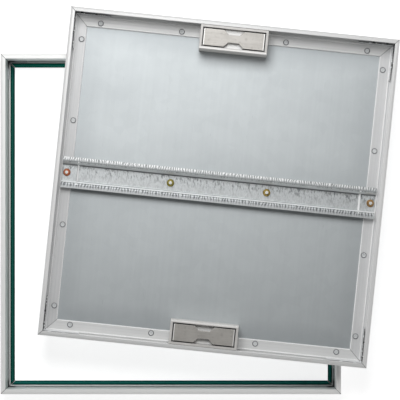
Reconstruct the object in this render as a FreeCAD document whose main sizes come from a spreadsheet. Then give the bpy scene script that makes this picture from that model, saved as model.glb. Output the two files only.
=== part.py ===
import FreeCAD, Part
import Sketcher
import math
import os

# Recessed floor access cover: a mitred aluminium frame with a rubber seal on its ledge, and a tray
# cover with pull-up handles, lifted out and laid askew on top of the frame. Millimetres.
# The origin is the middle of the frame's opening, on the frame's underside, with +Z up.
# Cover pieces are drawn about the cover's own middle, on its underside, then placed as one.

# Driving sizes: alias, value, meaning.
SIZES = [
    ("clear_opening", 600, "side of the frame's clear opening"),
    ("frame_head", 9.2, "width of the frame's hollow upright"),
    ("frame_skin", 1.8, "skin round the hollow of the upright"),
    ("bevel_width", 3.8, "width of the outer bevel on frame and cover heads"),
    ("bevel_drop", 1.5, "fall of that bevel"),
    ("gutter_width", 2, "gutter between the upright and the seal lip"),
    ("frame_lip", 2, "thickness of the seal lip"),
    ("frame_lip_rise", 3, "height of the seal lip above the ledge"),
    ("ledge_thickness", 4, "thickness of the ledge that carries the seal"),
    ("seal_width", 8, "width of the seal strip"),
    ("seal_base", 2.5, "height of the seal's flat base"),
    ("seal_rib_foot", 3.6, "width of the seal's rib at its foot"),
    ("seal_rib_crest", 2, "width of the seal's rib at its crest"),
    ("seal_rib_rise", 3.5, "height of the seal's rib, not squeezed"),
    ("seal_seat", 4, "height of the seal squeezed under the cover"),
    ("seal_mitre_gap", 2.6, "gap between two seal strips at a corner"),
    ("cleat_thickness", 1.6, "thickness of the frame's corner cleats"),
    ("cleat_rise", 12, "height of the frame's corner cleats"),
    ("cleat_leg", 36, "leg of the frame's corner cleats"),
    ("cover_clearance", 5, "gap between the seated cover and the frame's upright"),
    ("cover_height", 52, "height of the tray cover"),
    ("head_width", 8, "width of the cover rail's head"),
    ("head_depth", 5, "depth of the cover rail's head"),
    ("wall_width", 3, "thickness of the cover rail's wall"),
    ("lip_start", 9.3, "outer edge to the bead at the wall's foot"),
    ("lip_width", 1.7, "thickness of that bead"),
    ("lip_rise", 3.5, "height of that bead above the flange"),
    ("foot_width", 8, "width of the rail's foot, outside the base plate"),
    ("flange_reach", 30, "outer edge to the inner edge of the rail's flange"),
    ("flange_thickness", 3, "thickness of the rail's flange"),
    ("flange_chamfer", 1.2, "chamfer on the flange's inner edge"),
    ("plate_thickness", 1.5, "thickness of the galvanised base plate"),
    ("plate_clearance", 0.3, "gap between the base plate and the rail's foot"),
    ("rivet_line", 22, "outer edge to the line of rivets"),
    ("rivet_inner", 98.5, "middle of a side to its inner rivets"),
    ("rivet_outer", 252, "middle of a side to its outer rivets"),
    ("rivet_shank", 4.8, "diameter of a rivet's shank"),
    ("rivet_head", 11, "diameter of a rivet's head"),
    ("rivet_head_rise", 1.8, "height of a rivet's head"),
    ("rivet_rim", 0.5, "height of the rim of a rivet's head"),
    ("rivet_crown", 7.6, "diameter of the flat on a rivet's head"),
    ("rivet_eye", 4, "diameter of the hole left by the mandrel"),
    ("rivet_eye_depth", 1, "depth of the hole left by the mandrel"),
    ("fit_clearance", 0.05, "radial clearance of fasteners in their holes"),
    ("angle_thickness", 2, "thickness of the cover's corner angles"),
    ("angle_rise", 14, "height of the cover's corner angles"),
    ("angle_leg", 66, "leg of the cover's corner angles"),
    ("stake_near", 19, "corner to the nearer stake of a leg"),
    ("stake_far", 45, "corner to the further stake of a leg"),
    ("stake_length", 5, "length of a stake"),
    ("stake_rise", 6, "height of a stake"),
    ("hat_thickness", 1.5, "sheet thickness of the stiffener"),
    ("hat_bend", 1.5, "inner radius of the stiffener's folds"),
    ("hat_web", 32.4, "width of the stiffener's web"),
    ("hat_rise", 18, "height of the stiffener"),
    ("hat_spread", 5, "lean of each leg of the stiffener"),
    ("hat_lip", 8, "width of each lip of the stiffener"),
    ("hat_end_gap", 0.3, "gap between the stiffener's ends and the bead"),
    ("joggle_setback", 8.5, "flange edge to the top of the web's joggle"),
    ("joggle_ramp", 5, "length of the web's joggle"),
    ("bolt_setback", 20, "outer edge to the end bolts of the stiffener"),
    ("bolt_inner", 91, "middle of the cover to the inner bolts"),
    ("bolt_diameter", 6, "diameter of the stiffener bolts"),
    ("bolt_length", 15, "length of the stiffener bolts under the head"),
    ("bolt_chamfer", 0.8, "chamfer on a bolt's tip"),
    ("bolt_head", 13, "diameter of a bolt's low round head"),
    ("bolt_head_rise", 2.4, "height of a bolt's head"),
    ("bolt_head_rim", 0.8, "height of the rim of a bolt's head"),
    ("bolt_head_crown", 8, "diameter of the flat on a bolt's head"),
    ("nut_flange", 14.2, "diameter of a nut's flange"),
    ("nut_flange_rim", 0.9, "height of the rim of a nut's flange"),
    ("nut_flange_rise", 2, "height of the cone of a nut's flange"),
    ("nut_across", 10, "width across a nut's flats"),
    ("nut_rise", 6, "height of a nut"),
    ("nut_chamfer", 0.8, "chamfer on the corners of a nut's top"),
    ("housing_length", 127, "length of a handle housing"),
    ("housing_width", 46, "width of a handle housing"),
    ("housing_wall", 3, "wall of a handle housing"),
    ("housing_floor", 5, "thickness of the housing's seat floor"),
    ("housing_chamfer", 0.9, "chamfer round the housing's rim"),
    ("housing_clearance", 0.4, "gap between the housing and the steps of the rail"),
    ("housing_end_rim", 4.5, "rim of a housing at the ends of its recess"),
    ("housing_side_rim", 5, "rim of a housing along the sides of its recess"),
    ("recess_gap", 2, "gap round a lifting plate"),
    ("groove_depth", 3, "depth of the dirt groove round the plate's seat"),
    ("groove_overlap", 2, "how far that groove reaches under the plate"),
    ("lift_thickness", 5, "thickness of a lifting plate"),
    ("lift_corner", 1.2, "radius of a lifting plate's corners"),
    ("lift_chamfer", 0.6, "chamfer round a lifting plate's top"),
    ("lift_sink", 0.8, "lifting plate below the housing's rim"),
    ("lift_seat_gap", 0.2, "lifting plate above its seat"),
    ("lift_travel", 25, "height a lifting plate pulls up"),
    ("lift_stop_gap", 0.3, "gap left at the top of that travel"),
    ("notch_mouth", 37, "finger notch at the plate's edge"),
    ("notch_base", 20, "finger notch at its base"),
    ("notch_depth", 8.7, "depth of a finger notch"),
    ("trough_length", 44, "length of the finger trough"),
    ("trough_depth", 5, "depth of the finger trough below the seat"),
    ("trough_wall", 3, "wall and floor of the finger trough"),
    ("pin_setback", 15.5, "end of a housing to its guide pin"),
    ("pin_diameter", 8, "diameter of a guide pin"),
    ("pin_clearance", 0.08, "radial clearance of a guide pin in its bore"),
    ("pin_neck", 6, "diameter of a guide pin at its washer"),
    ("pin_tail", 7.6, "diameter of a guide pin's riveted tail"),
    ("pin_tail_rise", 1.7, "height of a guide pin's riveted tail"),
    ("spigot_diameter", 5, "diameter of a guide pin's spigot"),
    ("spigot_rise", 3, "length of a guide pin's spigot"),
    ("washer_diameter", 14, "diameter of a retaining washer"),
    ("washer_thickness", 2, "thickness of a retaining washer"),
    ("screw_spacing", 60, "distance between the two housing screws"),
    ("screw_setback", 10, "front of a housing to its screws"),
    ("screw_diameter", 4, "diameter of a housing screw"),
    ("screw_length", 14, "length of a housing screw under the head"),
    ("screw_head", 7.5, "diameter of a housing screw's head"),
    ("screw_head_rise", 2.4, "height of a housing screw's head"),
    ("screw_head_crown", 5, "diameter of the flat on a screw's head"),
    ("screw_head_rim", 1, "height of the rim of a screw's head"),
    ("boss_diameter", 9, "diameter of a screw boss"),
    ("boss_relief", 2, "depth of the screw hole past the screw"),
    ("cut_margin", 2, "how far a cut runs past the solid"),
    ("cover_shift_x", 90, "cover's middle from the frame's middle, along X"),
    ("cover_shift_y", 68.2, "cover's middle from the frame's middle, along Y"),
]

# Driving angles in degrees: alias, value, meaning.
ANGLES = [
    ("cover_turn", 5.85, "clockwise turn of the cover on the frame"),
]

# Sizes that follow from the driving sizes: alias and formula.
DERIVED = [
    ("ledge_reach", "=frame_head + gutter_width + frame_lip + seal_width"),
    ("frame_half", "=clear_opening / 2 + ledge_reach"),
    ("frame_height", "=ledge_thickness + seal_seat + cover_height"),
    ("frame_lip_top", "=ledge_thickness + frame_lip_rise"),
    ("gutter_edge", "=frame_half - frame_head"),
    ("seal_edge", "=clear_opening / 2 + seal_width"),
    ("seal_middle", "=clear_opening / 2 + seal_width / 2"),
    ("cover_half", "=gutter_edge - cover_clearance"),
    ("flange_edge", "=cover_half - flange_reach"),
    ("flange_top", "=plate_thickness + flange_thickness"),
    ("lip_top", "=flange_top + lip_rise"),
    ("lip_outer", "=cover_half - lip_start"),
    ("lip_inner", "=lip_outer - lip_width"),
    ("plate_half", "=cover_half - foot_width - plate_clearance"),
    ("rivet_offset", "=cover_half - rivet_line"),
    ("head_under", "=cover_height - head_depth"),
    ("angle_outer", "=lip_outer + angle_thickness"),
    ("angle_top", "=flange_top + angle_rise"),
    ("wall_face", "=cover_half - wall_width"),
    ("web_half", "=hat_web / 2"),
    ("hat_half", "=web_half + hat_spread + hat_lip"),
    ("hat_top", "=plate_thickness + hat_rise"),
    ("hat_end", "=lip_inner - hat_end_gap"),
    ("joggle_top", "=flange_edge - joggle_setback"),
    ("joggle_foot", "=joggle_top - joggle_ramp"),
    ("bolt_outer", "=cover_half - bolt_setback"),
    ("end_nut_seat", "=flange_top + hat_thickness"),
    ("inner_nut_seat", "=plate_thickness + hat_thickness"),
    ("housing_back", "=cover_half - head_width"),
    ("housing_front", "=housing_back - housing_width"),
    ("housing_middle", "=housing_back - housing_width / 2"),
    ("recess_length", "=housing_length - 2 * housing_end_rim"),
    ("recess_width", "=housing_width - 2 * housing_side_rim"),
    ("lift_length", "=recess_length - 2 * recess_gap"),
    ("lift_width", "=recess_width - 2 * recess_gap"),
    ("seat_length", "=lift_length - 2 * groove_overlap"),
    ("seat_width", "=lift_width - 2 * groove_overlap"),
    ("pin_reach", "=housing_length / 2 - pin_setback"),
    ("lift_top", "=cover_height - lift_sink"),
    ("lift_under", "=lift_top - lift_thickness"),
    ("seat_level", "=lift_under - lift_seat_gap"),
    ("floor_under", "=seat_level - housing_floor"),
    ("trough_level", "=seat_level - trough_depth"),
    ("washer_top", "=floor_under - lift_stop_gap - lift_travel"),
    ("washer_under", "=washer_top - washer_thickness"),
    ("screw_offset", "=housing_front + screw_setback"),
]

SHEET = "Size"
TOUCH = 1e-6
FULL_TURN = 360


def evenly_round(*names):
    """The names with their turns in degrees, evenly round the square, counter-clockwise from the top."""
    return {name: FULL_TURN * place / len(names) for place, name in enumerate(names)}


SIDES = evenly_round("upper", "left", "lower", "right")
CORNERS = evenly_round("upper_right", "upper_left", "lower_left", "lower_right")
HANDLES = evenly_round("upper", "lower")

doc = FreeCAD.newDocument("FloorAccessCover")
sub_parts = []


def make_sheet():
    """Writes the driving sizes as plain numbers and the derived ones as formulas, all with aliases."""
    sheet = doc.addObject("Spreadsheet::Sheet", SHEET)
    row = 1
    for alias, value, meaning in SIZES + ANGLES:
        sheet.set(f"A{row}", meaning)
        sheet.set(f"B{row}", str(value))
        sheet.setAlias(f"B{row}", alias)
        row += 1
    for alias, formula in DERIVED:
        sheet.set(f"B{row}", formula)
        sheet.setAlias(f"B{row}", alias)
        row += 1
    doc.recompute()


def size(formula):
    """The formula of sheet aliases as objects outside the sheet write it."""
    words = formula.replace("(", "( ").replace(")", " )").split(" ")
    return " ".join(f"{SHEET}.{word}" if word[:1].isalpha() and word != "sqrt(" else word
                    for word in words)


def number(formula):
    """What a formula of sheet aliases comes to."""
    return float(doc.getObject(SHEET).evalExpression(size(formula)))


def new_body(name):
    """A body for one sub-part, whose label names its file."""
    body = doc.addObject("PartDesign::Body", name)
    body.Label = name
    sub_parts.append(body)
    return body


def origin_feature(body, role):
    return next(feature for feature in body.Origin.OriginFeatures if feature.Role == role)


def new_sketch(body, name, role, along_x=None, along_y=None, along_z=None):
    """A sketch on an origin plane of its body, moved in the sketch's own axes by sheet formulas."""
    sketch = body.newObject("Sketcher::SketchObject", f"{body.Name}_{name}")
    sketch.AttachmentSupport = (origin_feature(body, role), "")
    sketch.MapMode = "FlatFace"
    for axis, formula in (("x", along_x), ("y", along_y), ("z", along_z)):
        if formula is not None:
            sketch.setExpression(f"AttachmentOffset.Base.{axis}", size(formula))
    return sketch


def bind_point(sketch, line, point, x, y):
    """Holds a point of the sketch at two sheet formulas, measured from the sketch's origin."""
    start = sketch.getPoint(line, point)
    for kind, formula, guess in (("DistanceX", x, start.x), ("DistanceY", y, start.y)):
        index = sketch.addConstraint(Sketcher.Constraint(kind, -1, 1, line, point, guess))
        sketch.setExpression(f"Constraints[{index}]", size(formula))


def draw_outline(sketch, corners):
    """Adds a closed outline of straight lines through corners given as pairs of sheet formulas."""
    first = sketch.GeometryCount
    count = len(corners)
    ring = [FreeCAD.Vector(math.cos(turn), math.sin(turn), 0)
            for turn in (2 * math.pi * i / count for i in range(count))]
    lines = [Part.LineSegment(ring[i], ring[(i + 1) % count]) for i in range(count)]
    sketch.addGeometry(lines, False)
    sketch.addConstraint([Sketcher.Constraint("Coincident", first + i, 2, first + (i + 1) % count, 1)
                          for i in range(count)])
    for i, (x, y) in enumerate(corners):
        bind_point(sketch, first + i, 1, x, y)


def draw_rectangle(sketch, left, right, bottom, top):
    draw_outline(sketch, [(left, bottom), (right, bottom), (right, top), (left, top)])


def draw_circle(sketch, x, y, radius):
    """Adds a circle whose centre and radius are sheet formulas."""
    circle = sketch.addGeometry(Part.Circle(FreeCAD.Vector(1, 1, 0), FreeCAD.Vector(0, 0, 1), 1), False)
    bind_point(sketch, circle, 3, x, y)
    index = sketch.addConstraint(Sketcher.Constraint("Radius", circle, 1))
    sketch.setExpression(f"Constraints[{index}]", size(radius))


def pad(body, sketch, length, both_ways=False):
    """Adds the sketch's outline, drawn out by the length along the plane's normal or both ways."""
    feature = body.newObject("PartDesign::Pad", f"{sketch.Name}_pad")
    feature.Profile = sketch
    if both_ways:
        feature.SideType = "Symmetric"
    feature.setExpression("Length", size(length))
    doc.recompute()
    return feature


def pocket(body, sketch, length=None, upward=False, both_ways=False):
    """Cuts the sketch's outline, right through or to the length, and makes sure that it cut something."""
    before = body.Shape.Volume
    feature = body.newObject("PartDesign::Pocket", f"{sketch.Name}_pocket")
    feature.Profile = sketch
    feature.Reversed = upward
    if both_ways:
        feature.SideType = "Symmetric"
    if length is None:
        feature.Type = "ThroughAll"
    else:
        feature.setExpression("Length", size(length))
    doc.recompute()
    if not body.Shape.Volume < before:
        raise RuntimeError(f"{feature.Name} cuts nothing")
    return feature


def revolve(body, sketch):
    """Turns the sketch's outline a full turn about the sketch's vertical axis."""
    feature = body.newObject("PartDesign::Revolution", f"{sketch.Name}_turned")
    feature.Profile = sketch
    feature.ReferenceAxis = (sketch, ["V_Axis"])
    feature.Angle = FULL_TURN
    doc.recompute()
    return feature


def mirror(body, role):
    """Repeats the whole body on the other side of one of its origin planes."""
    feature = body.newObject("PartDesign::Mirrored", f"{body.Name}_{role}_mirrored")
    feature.TransformMode = "Whole shape"
    feature.MirrorPlane = (origin_feature(body, role), [""])
    body.Tip = feature
    doc.recompute()


def repeat_on_sides(body):
    """Repeats the whole body on the four sides of the square."""
    feature = body.newObject("PartDesign::PolarPattern", f"{body.Name}_sides")
    feature.TransformMode = "Whole shape"
    feature.Axis = (origin_feature(body, "Z_Axis"), [""])
    feature.Angle = FULL_TURN
    feature.Occurrences = len(SIDES)
    body.Tip = feature
    doc.recompute()


def level_edges(formula):
    """A test for edges that lie flat at one level."""
    level = number(formula)

    def chosen(edge):
        return abs(edge.BoundBox.ZMin - level) < TOUCH and abs(edge.BoundBox.ZMax - level) < TOUCH

    return chosen


def upright_edges(edge):
    """The test for edges that run straight up."""
    return edge.BoundBox.XLength < TOUCH and edge.BoundBox.YLength < TOUCH


def fold_edges(places):
    """A test for edges along X that lie at the places, given across and up, on either side of the middle."""
    spots = [(number(across), number(level)) for across, level in places]

    def chosen(edge):
        straight = edge.BoundBox.YLength < TOUCH and edge.BoundBox.ZLength < TOUCH
        middle = edge.CenterOfMass
        return straight and any(abs(abs(middle.y) - across) < TOUCH and abs(middle.z - level) < TOUCH
                                for across, level in spots)

    return chosen


def dress_edges(body, kind, property_name, chosen, amount):
    """Adds a chamfer or fillet to the edges of the body's last feature that pass the test."""
    base = body.Tip
    names = [f"Edge{i}" for i, edge in enumerate(base.Shape.Edges, start=1) if chosen(edge)]
    feature = body.newObject(f"PartDesign::{kind}", f"{base.Name}_{kind.lower()}")
    feature.Base = (base, names)
    feature.setExpression(property_name, size(amount))
    doc.recompute()


def chamfer(body, chosen, amount):
    dress_edges(body, "Chamfer", "Size", chosen, amount)


def fillet(body, chosen, radius):
    dress_edges(body, "Fillet", "Radius", chosen, radius)


def place_on_frame(body, turn):
    """Turns a piece of the frame to its side or corner."""
    body.setExpression("Placement.Rotation.Angle", f"{turn}")


def place_on_cover(body, turn=0):
    """Turns a piece of the cover to its side, then lays it with the cover on top of the frame."""
    body.setExpression("Placement.Rotation.Angle", f"{FULL_TURN} - {SHEET}.cover_turn + {turn}")
    body.setExpression("Placement.Base.x", size("cover_shift_x"))
    body.setExpression("Placement.Base.y", size("cover_shift_y"))
    body.setExpression("Placement.Base.z", size("frame_height"))


def mitre(body, edge, inner, gap="0"):
    """Cuts both ends of a rail along X at 45 degrees, between two distances from the middle."""
    sketch = new_sketch(body, "mitres", "XY_Plane")
    low = f"( {inner} - cut_margin )"
    high = f"( {edge} + cut_margin )"
    for sign in ("", "-"):
        draw_outline(sketch, [
            (f"{sign}( {low} - {gap} )", low),
            (f"{sign}( {high} - {gap} )", high),
            (f"{sign}( {high} + cut_margin )", high),
            (f"{sign}( {high} + cut_margin )", low),
        ])
    pocket(body, sketch, upward=True)


# Frame

def frame_rail(side, turn):
    """One extrusion of the frame: a hollow upright with a bevelled head, a ledge and a seal lip."""
    body = new_body(f"{side}_frame_rail")
    section = new_sketch(body, "section", "YZ_Plane")
    draw_outline(section, [
        ("frame_half", "0"),
        ("frame_half", "frame_height - bevel_drop"),
        ("frame_half - bevel_width", "frame_height"),
        ("gutter_edge", "frame_height"),
        ("gutter_edge", "ledge_thickness"),
        ("gutter_edge - gutter_width", "ledge_thickness"),
        ("gutter_edge - gutter_width", "frame_lip_top"),
        ("seal_edge", "frame_lip_top"),
        ("seal_edge", "ledge_thickness"),
        ("clear_opening / 2", "ledge_thickness"),
        ("clear_opening / 2", "0"),
    ])
    draw_rectangle(section, "gutter_edge + frame_skin", "frame_half - frame_skin",
                   "ledge_thickness", "frame_height - bevel_drop - frame_skin")
    pad(body, section, "2 * frame_half", both_ways=True)
    mitre(body, "frame_half", "clear_opening / 2")
    place_on_frame(body, turn)


def seal_strip(side, turn):
    """One length of the seal: a flat base with a tapered rib, mitred short of its neighbours."""
    body = new_body(f"{side}_seal_strip")
    section = new_sketch(body, "section", "YZ_Plane")
    draw_outline(section, [
        ("clear_opening / 2", "ledge_thickness"),
        ("seal_edge", "ledge_thickness"),
        ("seal_edge", "ledge_thickness + seal_base"),
        ("seal_middle + seal_rib_foot / 2", "ledge_thickness + seal_base"),
        ("seal_middle + seal_rib_crest / 2", "ledge_thickness + seal_base + seal_rib_rise"),
        ("seal_middle - seal_rib_crest / 2", "ledge_thickness + seal_base + seal_rib_rise"),
        ("seal_middle - seal_rib_foot / 2", "ledge_thickness + seal_base"),
        ("clear_opening / 2", "ledge_thickness + seal_base"),
    ])
    pad(body, section, "2 * seal_edge", both_ways=True)
    mitre(body, "seal_edge", "clear_opening / 2", gap="seal_mitre_gap / sqrt( 2 )")
    place_on_frame(body, turn)


def frame_cleat(corner, turn):
    """An upright corner cleat in the gutter, against both uprights."""
    body = new_body(f"{corner}_frame_cleat")
    outline = new_sketch(body, "outline", "XY_Plane", along_z="ledge_thickness")
    draw_outline(outline, [
        ("gutter_edge", "gutter_edge"),
        ("gutter_edge - cleat_leg", "gutter_edge"),
        ("gutter_edge - cleat_leg", "gutter_edge - cleat_thickness"),
        ("gutter_edge - cleat_thickness", "gutter_edge - cleat_thickness"),
        ("gutter_edge - cleat_thickness", "gutter_edge - cleat_leg"),
        ("gutter_edge", "gutter_edge - cleat_leg"),
    ])
    pad(body, outline, "cleat_rise")
    place_on_frame(body, turn)


# Tray cover

def rail_holes(body, with_bolt):
    """Holes for the rivets of a rail's flange, and for the stiffener's end bolt on two of the rails."""
    holes = new_sketch(body, "holes", "XY_Plane")
    for along in ("rivet_inner", "-rivet_inner", "rivet_outer", "-rivet_outer"):
        draw_circle(holes, signed(along), "rivet_offset", "rivet_shank / 2 + fit_clearance")
    if with_bolt:
        draw_circle(holes, "0", "bolt_outer", "bolt_diameter / 2 + fit_clearance")
    pocket(body, holes, upward=True)


def signed(alias):
    """Sets a leading minus apart from its alias."""
    return alias.replace("-", "-1 * ")


def cover_rail(side, turn):
    """One extrusion of the tray: wall with an overhanging bevelled head, bead, flange and foot."""
    body = new_body(f"{side}_cover_rail")
    section = new_sketch(body, "section", "YZ_Plane")
    draw_outline(section, [
        ("cover_half", "0"),
        ("cover_half", "cover_height - bevel_drop"),
        ("cover_half - bevel_width", "cover_height"),
        ("housing_back", "cover_height"),
        ("housing_back", "head_under"),
        ("wall_face", "head_under - head_width + wall_width"),
        ("wall_face", "flange_top"),
        ("lip_outer", "flange_top"),
        ("lip_outer", "lip_top"),
        ("lip_inner", "lip_top"),
        ("lip_inner", "flange_top"),
        ("flange_edge + flange_chamfer", "flange_top"),
        ("flange_edge", "flange_top - flange_chamfer"),
        ("flange_edge", "plate_thickness"),
        ("cover_half - foot_width", "plate_thickness"),
        ("cover_half - foot_width", "0"),
    ])
    pad(body, section, "2 * cover_half", both_ways=True)
    mitre(body, "cover_half", "flange_edge")
    rail_holes(body, with_bolt=side in ("left", "right"))
    place_on_cover(body, turn)


def corner_angle(corner, turn):
    """An upright angle behind the bead at a corner, wedged against the walls by its stakes."""
    body = new_body(f"{corner}_corner_angle")
    outline = new_sketch(body, "outline", "XY_Plane", along_z="flange_top")
    draw_outline(outline, [
        ("angle_outer", "angle_outer"),
        ("angle_outer - angle_leg", "angle_outer"),
        ("angle_outer - angle_leg", "lip_outer"),
        ("lip_outer", "lip_outer"),
        ("lip_outer", "angle_outer - angle_leg"),
        ("angle_outer", "angle_outer - angle_leg"),
    ])
    pad(body, outline, "angle_rise")
    stakes = new_sketch(body, "stakes", "XY_Plane", along_z="angle_top - stake_rise")
    for reach in ("stake_near", "stake_far"):
        low = f"cover_half - {reach} - stake_length / 2"
        high = f"cover_half - {reach} + stake_length / 2"
        draw_rectangle(stakes, low, high, "angle_outer", "wall_face")
        draw_rectangle(stakes, "angle_outer", "wall_face", low, high)
    pad(body, stakes, "stake_rise")
    place_on_cover(body, turn)


def base_plate():
    """The galvanised sheet under the flanges, drilled for rivets, bolts and housing screws."""
    body = new_body("base_plate")
    outline = new_sketch(body, "outline", "XY_Plane")
    draw_rectangle(outline, "-1 * plate_half", "plate_half", "-1 * plate_half", "plate_half")
    pad(body, outline, "plate_thickness")
    holes = new_sketch(body, "holes", "XY_Plane")
    rivet_radius = "rivet_shank / 2 + fit_clearance"
    for along in ("rivet_inner", "-rivet_inner", "rivet_outer", "-rivet_outer"):
        for across in ("rivet_offset", "-rivet_offset"):
            draw_circle(holes, signed(along), signed(across), rivet_radius)
            draw_circle(holes, signed(across), signed(along), rivet_radius)
    for along in ("bolt_inner", "-bolt_inner", "bolt_outer", "-bolt_outer"):
        draw_circle(holes, signed(along), "0", "bolt_diameter / 2 + fit_clearance")
    for along in ("screw_spacing / 2", "-screw_spacing / 2"):
        for across in ("screw_offset", "-screw_offset"):
            draw_circle(holes, signed(along), signed(across), "screw_diameter / 2 + fit_clearance")
    pocket(body, holes, upward=True)
    place_on_cover(body)


def rivets():
    """Blind rivets through the flanges and the base plate, set flush underneath."""
    body = new_body("rivets")
    for name, along in (("inner", "rivet_inner"), ("outer", "rivet_outer")):
        section = new_sketch(body, name, "XZ_Plane", along_x=along, along_z="-1 * rivet_offset")
        draw_outline(section, [
            ("0", "0"),
            ("rivet_shank / 2", "0"),
            ("rivet_shank / 2", "flange_top"),
            ("rivet_head / 2", "flange_top"),
            ("rivet_head / 2", "flange_top + rivet_rim"),
            ("rivet_crown / 2", "flange_top + rivet_head_rise"),
            ("rivet_eye / 2", "flange_top + rivet_head_rise"),
            ("rivet_eye / 2", "flange_top + rivet_head_rise - rivet_eye_depth"),
            ("0", "flange_top + rivet_head_rise - rivet_eye_depth"),
        ])
        revolve(body, section)
    mirror(body, "YZ_Plane")
    repeat_on_sides(body)
    place_on_cover(body)


# Stiffener

def stiffener_channel():
    """Folded hat channel, web down, whose web steps up on to the flanges at both ends."""
    body = new_body("stiffener_channel")
    section = new_sketch(body, "section", "YZ_Plane")
    web_fold_outside = ("web_half", "plate_thickness")
    web_fold_inside = ("web_half - hat_thickness", "plate_thickness + hat_thickness")
    lip_fold_outside = ("web_half + hat_spread - hat_thickness", "hat_top")
    lip_fold_inside = ("web_half + hat_spread", "hat_top - hat_thickness")
    right_side = [
        web_fold_outside,
        lip_fold_inside,
        ("hat_half", "hat_top - hat_thickness"),
        ("hat_half", "hat_top"),
        lip_fold_outside,
        web_fold_inside,
    ]
    left_side = [(f"-1 * ( {across} )", level) for across, level in reversed(right_side)]
    draw_outline(section, right_side + left_side)
    pad(body, section, "2 * hat_end", both_ways=True)
    fillet(body, fold_edges([web_fold_inside, lip_fold_inside]), "hat_bend")
    fillet(body, fold_edges([web_fold_outside, lip_fold_outside]), "hat_bend + hat_thickness")
    steps = new_sketch(body, "steps", "XZ_Plane")
    raised_web = new_sketch(body, "raised_web", "XZ_Plane")
    for sign in ("", "-1 * "):
        foot, top, end = f"{sign}joggle_foot", f"{sign}joggle_top", f"{sign}hat_end"
        draw_outline(steps, [
            (foot, "-1 * cut_margin"),
            (foot, "plate_thickness"),
            (top, "flange_top"),
            (f"{sign}( hat_end + cut_margin )", "flange_top"),
            (f"{sign}( hat_end + cut_margin )", "-1 * cut_margin"),
        ])
        draw_outline(raised_web, [
            (foot, "plate_thickness"),
            (top, "flange_top"),
            (end, "flange_top"),
            (end, "flange_top + hat_thickness"),
            (top, "flange_top + hat_thickness"),
            (foot, "plate_thickness + hat_thickness"),
        ])
    pocket(body, steps, both_ways=True)
    pad(body, raised_web, "hat_web", both_ways=True)
    holes = new_sketch(body, "holes", "XY_Plane")
    for along in ("bolt_inner", "-bolt_inner", "bolt_outer", "-bolt_outer"):
        draw_circle(holes, signed(along), "0", "bolt_diameter / 2 + fit_clearance")
    pocket(body, holes, upward=True)
    place_on_cover(body)


def channel_bolts():
    """Low round-headed bolts, put in from under the base plate."""
    body = new_body("channel_bolts")
    for name, along in (("inner", "bolt_inner"), ("outer", "bolt_outer")):
        section = new_sketch(body, name, "XZ_Plane", along_x=along)
        draw_outline(section, [
            ("0", "-1 * bolt_head_rise"),
            ("bolt_head_crown / 2", "-1 * bolt_head_rise"),
            ("bolt_head / 2", "-1 * bolt_head_rim"),
            ("bolt_head / 2", "0"),
            ("bolt_diameter / 2", "0"),
            ("bolt_diameter / 2", "bolt_length - bolt_chamfer"),
            ("bolt_diameter / 2 - bolt_chamfer", "bolt_length"),
            ("0", "bolt_length"),
        ])
        revolve(body, section)
    mirror(body, "YZ_Plane")
    place_on_cover(body)


def flange_nuts(name, along, seat):
    """A pair of hexagon flange nuts, one on each side of the middle."""
    body = new_body(name)
    hexagon = new_sketch(body, "hexagon", "XY_Plane", along_x=along, along_z=seat)
    corner = "nut_across / sqrt( 3 )"
    draw_outline(hexagon, [
        (corner, "0"),
        (f"{corner} / 2", "nut_across / 2"),
        (f"-1 * {corner} / 2", "nut_across / 2"),
        (f"-1 * {corner}", "0"),
        (f"-1 * {corner} / 2", "-1 * nut_across / 2"),
        (f"{corner} / 2", "-1 * nut_across / 2"),
    ])
    pad(body, hexagon, "nut_rise")
    flange = new_sketch(body, "flange", "XZ_Plane", along_x=along, along_y=seat)
    draw_outline(flange, [
        ("0", "0"),
        ("nut_flange / 2", "0"),
        ("nut_flange / 2", "nut_flange_rim"),
        ("nut_across / 2", "nut_flange_rise"),
        ("0", "nut_flange_rise"),
    ])
    revolve(body, flange)
    bevel = new_sketch(body, "bevel", "XZ_Plane", along_x=along, along_y=seat)
    draw_outline(bevel, [
        (f"{corner} - nut_chamfer", "nut_rise"),
        (f"{corner} + cut_margin", "nut_rise - nut_chamfer - cut_margin"),
        (f"{corner} + cut_margin", "nut_rise"),
    ])
    groove = body.newObject("PartDesign::Groove", f"{bevel.Name}_groove")
    groove.Profile = bevel
    groove.ReferenceAxis = (bevel, ["V_Axis"])
    groove.Angle = FULL_TURN
    doc.recompute()
    bore = new_sketch(body, "bore", "XY_Plane", along_x=along, along_z=seat)
    draw_circle(bore, "0", "0", "bolt_diameter / 2 + fit_clearance")
    pocket(body, bore, upward=True)
    mirror(body, "YZ_Plane")
    place_on_cover(body)


# Pull-up handles

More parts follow.
